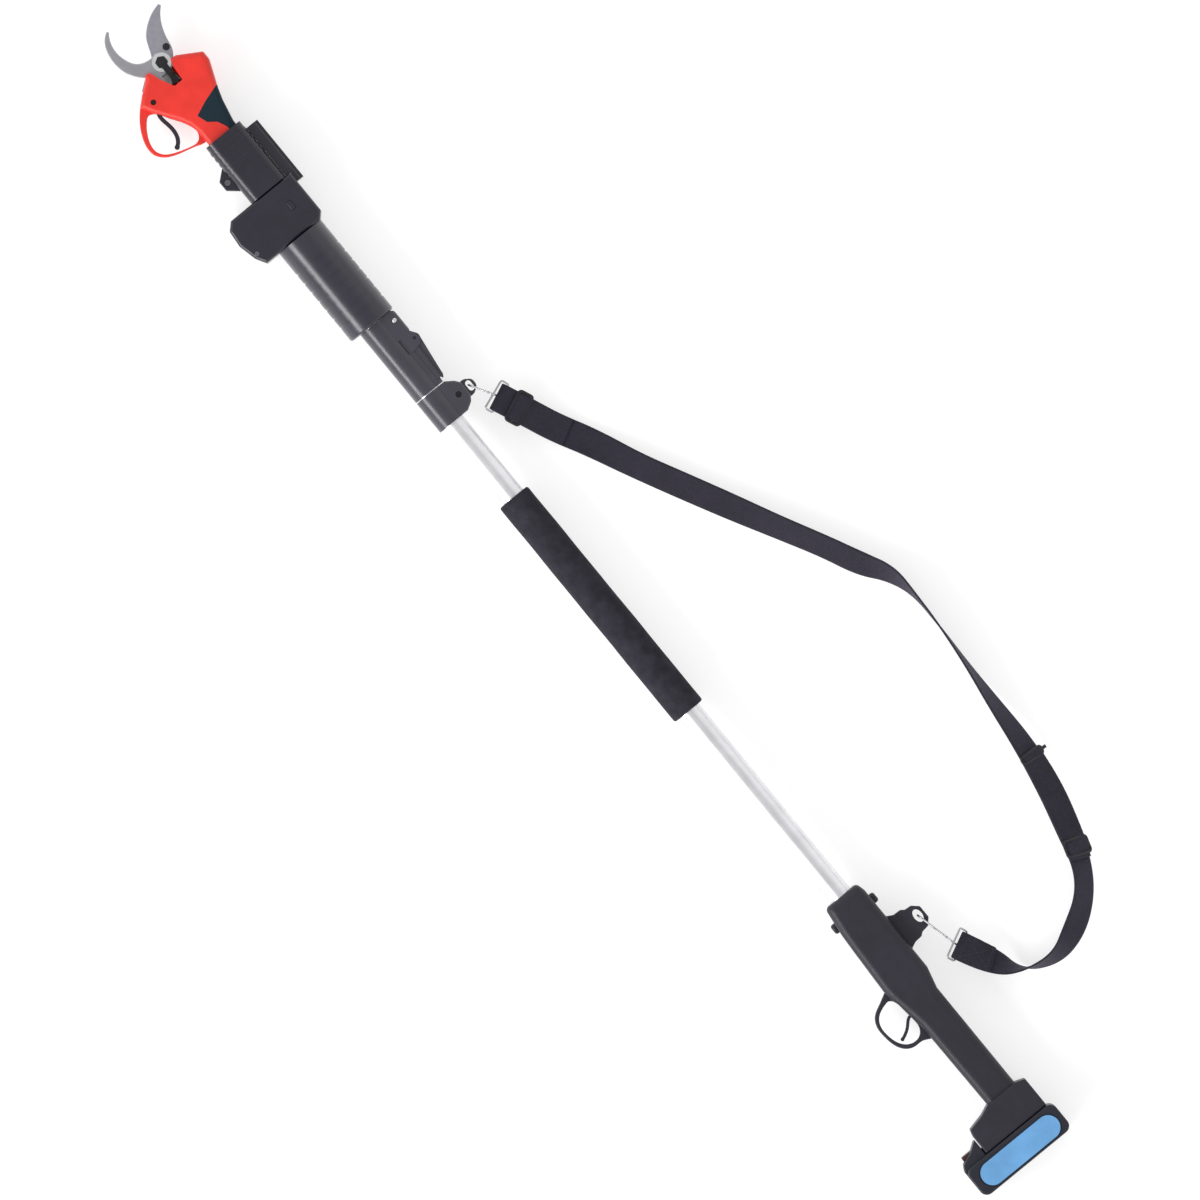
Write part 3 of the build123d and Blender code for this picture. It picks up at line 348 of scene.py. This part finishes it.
# Hooks, gates and loops are in millimetres, and so is every x or z along them.
# Each hook has its end in the eye first, then its end in the loop.
HOOKS = [((245.2, -41.4), (222.7, -54.5)), ((-518.2, -52.9), (-563.5, -63.9))]
GATES = [(-5.0, 9.0), (-1.0, 15.0)]       # start and end of each hook's gate along it
GATE_DROP, GATE_SLIMMER = 0.1, 0.12       # the gate's wire lies lower and is thinner
RIVET_SIDES = 14
WIRE = 2.2
HOOK_HEIGHT = 16.5
HINGE_INSET = 1.5
LOOP_BURY = 4.0                           # how far a loop reaches into the webbing's fold
LOOP_HALF_W, LOOP_CORNER = 0.019, 0.0022  # metres


def route_points():
    """The route's points in metres, at the height that the webbing's roll gives them."""
    points = []
    for x, y, roll, lift in STRAP_ROUTE:
        turn = math.radians(roll)
        half = abs(math.sin(turn)) * WEB_HALF_W + abs(math.cos(turn)) * WEB_HALF_T
        points.append(at(x, y, half - AXIS_HEIGHT + WEB_OFF_FLOOR + lift))
    return points


def spline_points(controls):
    """Points along the smooth spline whose control points are given."""
    curve = bpy.data.curves.new("strap_line", "CURVE")
    curve.dimensions = "3D"
    curve.resolution_u = 10
    spline = curve.splines.new("NURBS")
    spline.points.add(len(controls) - 1)
    for point, place in zip(spline.points, controls):
        point.co = (*place, 1.0)
    spline.order_u = 3
    spline.use_endpoint_u = True
    holder = bpy.data.objects.new("strap_line", curve)
    bpy.context.scene.collection.objects.link(holder)
    bpy.context.view_layer.update()
    mesh = bpy.data.meshes.new_from_object(holder)
    found = [v.co.copy() for v in mesh.vertices]
    bpy.data.meshes.remove(mesh)
    bpy.data.objects.remove(holder)
    bpy.data.curves.remove(curve)
    return found


def station_share(point, controls):
    """Where along the route a point is, as a station number with its fraction."""
    best = (1e9, 0.0)
    for k in range(len(controls) - 1):
        run = controls[k + 1] - controls[k]
        share = min(1.0, max(0.0, (point - controls[k]).dot(run) / run.length_squared))
        best = min(best, ((controls[k] + run * share - point).length, k + share))
    return best[1]


class StrapLine:
    """The webbing's middle line with its roll at every point."""

    def __init__(self):
        controls = route_points()
        self.points = spline_points(controls)
        self.stations = [station_share(p, controls) for p in self.points]
        rolls = [row[2] for row in STRAP_ROUTE]
        rough_rolls = np.interp(self.stations, range(len(rolls)), rolls)
        smoothed = 9                      # points that each roll is averaged over
        padded = np.pad(rough_rolls, smoothed // 2, mode="edge")
        self.rolls = np.convolve(padded, np.ones(smoothed) / smoothed, mode="valid")
        gaps = [(b - a).length for a, b in zip(self.points, self.points[1:])]
        self.runs = np.concatenate([[0.0], np.cumsum(gaps)])
        self.length = float(self.runs[-1])

    def along(self, i):
        a, b = max(i - 1, 0), min(i + 1, len(self.points) - 1)
        return (self.points[b] - self.points[a]).normalized()

    def across(self, i):
        along = self.along(i)
        flat = Vector((-along.y, along.x, 0)).normalized()
        flat.rotate(Quaternion(along, math.radians(float(self.rolls[i]))))
        return flat

    def run_at(self, station):
        return float(np.interp(station, self.stations, self.runs))

    def frame_at(self, run):
        """Middle point, direction along, direction across at a distance from the start."""
        i = int(np.argmin(np.abs(self.runs - run)))
        j = min(max(i, 1), len(self.points) - 2)
        side = j + 1 if run > self.runs[j] else j - 1
        share = abs(run - self.runs[j]) / max(1e-9, abs(self.runs[side] - self.runs[j]))
        point = self.points[j].lerp(self.points[side], min(share, 1.0))
        return point, self.along(j), self.across(j)


def layer(name, line, runs, heights, side, material, fold_at=None):
    """Webbing beside the strap at the given heights, folded back onto it at fold_at if given."""
    points, across = [], []
    for run, height in zip(runs, heights):
        middle, along, wide = line.frame_at(run)
        points.append(middle + along.cross(wide) * side * height)
        across.append(wide)
    if fold_at is not None:
        middle, along, wide = line.frame_at(fold_at)
        outward = along if fold_at > line.length / 2 else -along
        up = along.cross(wide) * side
        radius = LAYER / 2
        for angle in (30, 60, 90, 120, 150, 180):
            a = math.radians(angle)
            points.append(middle + up * radius * (1 + math.cos(a)) + outward * radius * math.sin(a))
            across.append(wide)
    return swept(name, points, across, flat_section(WEB_W - LAYER_INSET, WEB_T), material)


def doubled(name, line, start, end, humps, side, material):
    """A second layer from start to end that rises over each slider's middle bar."""
    runs = np.linspace(start, end, max(12, int((end - start) / 0.0025)))
    heights = []
    for run in runs:
        rise = max([0.0] + [math.cos(min(1.0, abs(run - at_run) / reach) * math.pi / 2) ** 2
                            for at_run, reach in humps])
        heights.append(LAYER + rise * HUMP)
    return layer(name, line, runs, heights, side, material)


def slider(number, line, side, material):
    """Rectangular slide with a middle bar, its side rails outside the webbing."""
    station, width, length = SLIDERS[number]
    middle, along, wide = line.frame_at(line.run_at(station))
    up = along.cross(wide) * side
    wide = along.cross(up)
    half_w, half_l = width / 2 * MM - SLIDER_BAR / 2, length / 2 * MM - SLIDER_BAR / 2
    centre = middle + up * SLIDER_RISE
    path = rounded_rectangle(half_w, half_l, SLIDER_CORNER, 6)
    tall = [(x * SLIDER_FLATTEN, y) for x, y in round_section(SLIDER_BAR / 2, 16)]
    rim = swept(f"slider_{number}", [centre + wide * x + along * y for x, y in path],
                [up] * len(path), tall, material, closed=True)
    cross = [centre + wide * half_w * k / 4 for k in range(-4, 5)]
    bars = [swept(f"slider_bar_{number}", cross, [up] * 9, tall, material)]
    if number == SIDE_TAB:
        tab = [middle + wide * (width / 2 - 1 + k) * MM * -1 + up * SLIDER_RISE for k in range(7)]
        bars.append(swept("slider_tab", tab, [along] * 7, flat_section(0.004, 0.0016, 4), material))
    for piece in [rim, *bars]:
        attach(piece, "pole")
    return [rim, *bars]


def stitches(name, line, start, end, side, material):
    """A sewn box with a cross, standing on the second layer."""
    half = WEB_W / 2 - SEAM_INSET
    corners = [(start, -half), (start, half), (end, half), (end, -half)]
    rows = [(corners[k], corners[(k + 1) % 4]) for k in range(4)]
    rows += [(corners[0], corners[2]), (corners[1], corners[3])]
    verts, faces = [], []
    for (run_a, off_a), (run_b, off_b) in rows:
        span = math.hypot(run_b - run_a, off_b - off_a)
        count = max(2, round(span / STITCH_PITCH))
        turn = math.atan2(off_b - off_a, run_b - run_a)
        for k in range(count):
            share = (k + 0.5) / count
            run, off = run_a + (run_b - run_a) * share, off_a + (off_b - off_a) * share
            middle, along, wide = line.frame_at(run)
            up = along.cross(wide) * side
            place = middle + wide * off + up * (WEB_T * 1.5 + 0.0001)
            ahead = along * math.cos(turn) + wide * math.sin(turn)
            beside = ahead.cross(up)
            base = len(verts)
            for lean, height in STITCH_ARCH:
                spot = place + ahead * lean * STITCH_REACH + up * height * MM
                verts += [spot - beside * THREAD_HALF_W, spot + beside * THREAD_HALF_W]
            for q in range(4):
                a = base + 2 * q
                faces.append((a, a + 1, a + 3, a + 2))
            faces.append((base, base + 1, base + 9, base + 8))
    return mesh_object(name, verts, faces, material)


def wire_plane(number):
    """Middle of a snap hook, its direction and the length between its ends in millimetres."""
    start, end = HOOKS[number]
    a, b = Vector(start), Vector(end)
    along = (b - a).normalized()
    middle = (a + b) / 2
    return at(middle.x, middle.y), Vector((along.x, along.y, 0)), (b - a).length


def hook_wire(number, material):
    """Round wire bent to an upright oval, open where the gate closes it."""
    middle, along, span = wire_plane(number)
    normal = Vector((-along.y, along.x, 0))
    r = (HOOK_HEIGHT - WIRE) / 2
    half = span / 2 + 2 + WIRE / 2 - r
    start, end = GATES[number]
    path = [(end + (half - end) * k / 4, r) for k in range(4)]
    path += [(half + r * math.sin(a), r * math.cos(a)) for a in np.linspace(0, math.pi, 17)]
    path += [(half - 2 * half * k / 8, -r) for k in range(1, 8)]
    path += [(-half - r * math.sin(a), -r * math.cos(a)) for a in np.linspace(0, math.pi, 17)]
    path += [(-half + (start + half) * k / 4, r) for k in range(1, 5)]
    points = [middle + along * x * MM + Vector((0, 0, z * MM)) for x, z in path]
    made = swept(f"hook_wire_{number}", points, [normal] * len(points),
                 round_section(WIRE / 2 * MM), material)
    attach(made, "pole")
    return made


def gate_wire(number, body, node, material):
    """Sprung gate: a wire with a step at its tip, and the rivet of its hinge."""
    middle, along, _ = wire_plane(number)
    normal = Vector((-along.y, along.x, 0))
    r = (HOOK_HEIGHT - WIRE) / 2
    start, end = GATES[number]
    path = [(start + 0.4, r), (start + 1.2, r), (start + 2.0, r - GATE_DROP)]
    path += [(start + 2 + (end - HINGE_INSET - start - 2) * k / 5, r - GATE_DROP)
             for k in range(1, 6)]
    points = [middle + along * x * MM + Vector((0, 0, z * MM)) for x, z in path]
    bar = swept(f"gate_wire_{number}", points, [normal] * len(points),
                round_section((WIRE / 2 - GATE_SLIMMER) * MM), material)
    hinge = middle + along * (end - HINGE_INSET) * MM + Vector((0, 0, r * MM))
    reach = (WIRE / 2 + 0.45) * MM
    levels = [(-reach, 0.35), (-reach + 0.0002, 0.75), (-reach + 0.0005, 0.8),
              (reach - 0.0005, 0.8), (reach - 0.0002, 0.75), (reach, 0.35)]
    verts = []
    for place, radius in levels:
        for k in range(RIVET_SIDES):
            a = 2 * math.pi * k / RIVET_SIDES
            verts.append(hinge + normal * place + along * radius * MM * math.cos(a)
                         + Vector((0, 0, radius * MM * math.sin(a))))
    rivet = mesh_object(f"gate_rivet_{number}", verts, ring_faces(len(levels), RIVET_SIDES),
                        material)
    for piece in (bar, rivet):
        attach(piece, body)
    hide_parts(node)


def loop_wire(number, line, material):
    """Rounded rectangle of wire between the hook and the fold of the webbing."""
    run = 0.0 if number == 0 else line.length
    middle, _, wide = line.frame_at(run)
    out = at(*HOOKS[number][1])
    reach = middle - out
    reach = reach * ((reach.length + LOOP_BURY * MM) / reach.length)
    down = reach.normalized()
    wide = (wide - down * wide.dot(down)).normalized()
    normal = wide.cross(down)
    centre = out + reach / 2
    path = rounded_rectangle(LOOP_HALF_W - WIRE / 2 * MM, reach.length / 2, LOOP_CORNER, 5)
    points = [centre + wide * x + down * y for x, y in path]
    made = swept(f"end_loop_wire_{number}", points, [normal] * len(points),
                 round_section(WIRE / 2 * MM), material, closed=True)
    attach(made, "pole")
    return made


def build_strap(materials):
    """The webbing with its sewn folds, doubled stretches, sliders and wire hardware."""
    line = StrapLine()
    across = [line.across(i) for i in range(len(line.points))]
    web = materials["webbing"]
    strap = swept("shoulder_strap_webbing", line.points, across, flat_section(WEB_W, WEB_T), web)
    end = line.length
    spots = [line.run_at(station) for station, _, _ in SLIDERS]
    pieces = [
        layer("sewn_fold_upper", line, np.linspace(0.012, 0.0, 6), [LAYER] * 6, -1, web, 0.0),
        layer("sewn_fold_lower", line, np.linspace(end - 0.042, end, 12), [LAYER] * 12, 1, web,
              end),
        doubled("slider_web_upper", line, spots[0] - 0.0085, spots[0] + 0.062,
                [(spots[0], 0.0085)], 1, web),
        doubled("slider_web_lower", line, spots[1] - 0.004, spots[2] + 0.014,
                [(spots[1], 0.006), (spots[2], 0.0095)], -1, web),
        stitches("stitches_lower", line, end - 0.038, end - 0.006, 1, materials["thread"]),
    ]
    sliders = slider(0, line, 1, materials["adjuster_black"])
    sliders += slider(1, line, -1, materials["adjuster_black"])
    sliders += slider(2, line, -1, materials["adjuster_black"])
    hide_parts("strap_adjusters")
    for piece in [strap, *pieces]:
        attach(piece, "pole")
    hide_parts("shoulder_strap")
    loops = [loop_wire(n, line, materials["wire_steel"]) for n in (0, 1)]
    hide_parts("strap_end_loops")
    wires = [hook_wire(n, materials["wire_steel"]) for n in (0, 1)]
    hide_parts("snap_hooks")
    gate_wire(0, "upper_gate", "upper_hook_gate", materials["wire_steel"])
    gate_wire(1, "lower_gate", "lower_hook_gate", materials["wire_steel"])


# --- foam grip ---------------------------------------------------------------------------------
FOAM_DENT = 0.18                          # millimetres that the surface comes and goes
FOAM_SKIN = 16                            # radius above which it does
FOAM_SIDES = 96


def foam_sleeve(profile, material):
    """A closed profile of (x, r) in millimetres turned about the pole's axis, with slow dents."""
    verts = []
    for j in range(FOAM_SIDES):
        angle = 2 * math.pi * j / FOAM_SIDES
        for x, r in profile:
            swell = 1.0
            if r > FOAM_SKIN:
                swell += FOAM_DENT * math.sin(x * 0.071 + 2 * math.sin(angle)) \
                    * math.sin(x * 0.023 + 3 * angle) / r
            verts.append(at(x, r * swell * math.cos(angle), r * swell * math.sin(angle)))
    faces = ring_faces(FOAM_SIDES, len(profile), closed=True)
    return mesh_object("foam_sleeve", verts, faces, material)


def build_foam(materials):
    """Foam sleeve with rolled ends, closed round the tube."""
    x0, x1, r, bore, roll = -182.6, 121.0, 19.6, 14.05, 2.6
    profile = [(x0 + 0.6, bore)]
    profile += [(x0 + roll - roll * math.sin(a), r - roll + roll * math.cos(a))
                for a in (1.57, 1.2, 0.8, 0.4, 0.0)]
    steps = 60
    profile += [(x0 + roll + (x1 - x0 - 2 * roll) * k / steps, r) for k in range(1, steps)]
    profile += [(x1 - roll + roll * math.sin(a), r - roll + roll * math.cos(a))
                for a in (0.0, 0.4, 0.8, 1.2, 1.57)]
    profile.append((x1 - 0.6, bore))
    sleeve = foam_sleeve(profile, materials["foam"])
    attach(sleeve, "pole")
    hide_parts("foam_grip")


# --- light, floor and camera --------------------------------------------------------------------
SKY_FADE = {"From Min": 0.6, "From Max": 0.97, "To Min": 1.0, "To Max": 0.62}
FLOOR_HALF, FLOOR_Z = 12.0, -0.0003
KEY_PLACE, KEY_SIZE, KEY_WATTS = (0.0, 2.3, 1.6), (3.4, 0.85), 70
CAMERA_PLACE = (-0.0265, -0.0149, 18.0)
CAMERA_TURN = 230.66                      # degrees about the line of sight
FOCAL_LENGTH, SENSOR_WIDTH = 490.92, 36.0


def area_light(name, place, target, size, energy):
    """A rectangular lamp at place that shines at target."""
    lamp = bpy.data.lights.new(name, "AREA")
    lamp.shape = "RECTANGLE"
    lamp.size, lamp.size_y = size
    lamp.energy = energy
    made = bpy.data.objects.new(name, lamp)
    bpy.context.scene.collection.objects.link(made)
    made.location = place
    made.rotation_euler = (Vector(target) - Vector(place)).to_track_quat("-Z", "Y").to_euler()


def studio_sky():
    """White surroundings, darker straight overhead so that flat faces keep their own colour."""
    world = bpy.data.worlds.new("studio")
    world.use_nodes = True
    tree = world.node_tree
    background = tree.nodes["Background"]
    direction = tree.nodes.new("ShaderNodeTexCoord").outputs["Generated"]
    split = tree.nodes.new("ShaderNodeSeparateXYZ")
    tree.links.new(direction, split.inputs[0])
    fade = tree.nodes.new("ShaderNodeMapRange")
    fade.interpolation_type = "SMOOTHSTEP"
    tree.links.new(split.outputs["Z"], fade.inputs["Value"])
    for key, value in SKY_FADE.items():
        fade.inputs[key].default_value = value
    tree.links.new(fade.outputs[0], background.inputs["Strength"])
    background.inputs["Color"].default_value = (1, 1, 1, 1)
    return world


def floor_shade():
    """Pale paper with a glow of its own, so that the lit floor comes out white."""
    made = Shade("floor", (0.45, 0.45, 0.45), 0.9, specular=0.1)
    made.put("Emission Color", (1, 1, 1, 1))
    made.put("Emission Strength", 0.64)
    return made.material


def build_stage():
    """Pale floor, one long soft lamp and the camera straight above."""
    scene = bpy.context.scene
    corners = [(x * FLOOR_HALF, y * FLOOR_HALF, FLOOR_Z)
               for x, y in ((-1, -1), (1, -1), (1, 1), (-1, 1))]
    floor = mesh_object("floor", corners, [(0, 1, 2, 3)], floor_shade(), smooth=False)
    scene.world = studio_sky()
    area_light("key", KEY_PLACE, (0.0, 0.0, 0.0), KEY_SIZE, KEY_WATTS)
    lens = bpy.data.cameras.new("camera")
    lens.lens = FOCAL_LENGTH
    lens.sensor_width = SENSOR_WIDTH
    lens.clip_end = 50.0
    camera = bpy.data.objects.new("camera", lens)
    scene.collection.objects.link(camera)
    camera.location = CAMERA_PLACE
    camera.rotation_euler = (0, 0, math.radians(CAMERA_TURN))
    scene.camera = camera
    scene.view_settings.view_transform = "Standard"


MATERIALS = paint_nodes()
build_stage()
build_strap(MATERIALS)
build_foam(MATERIALS)
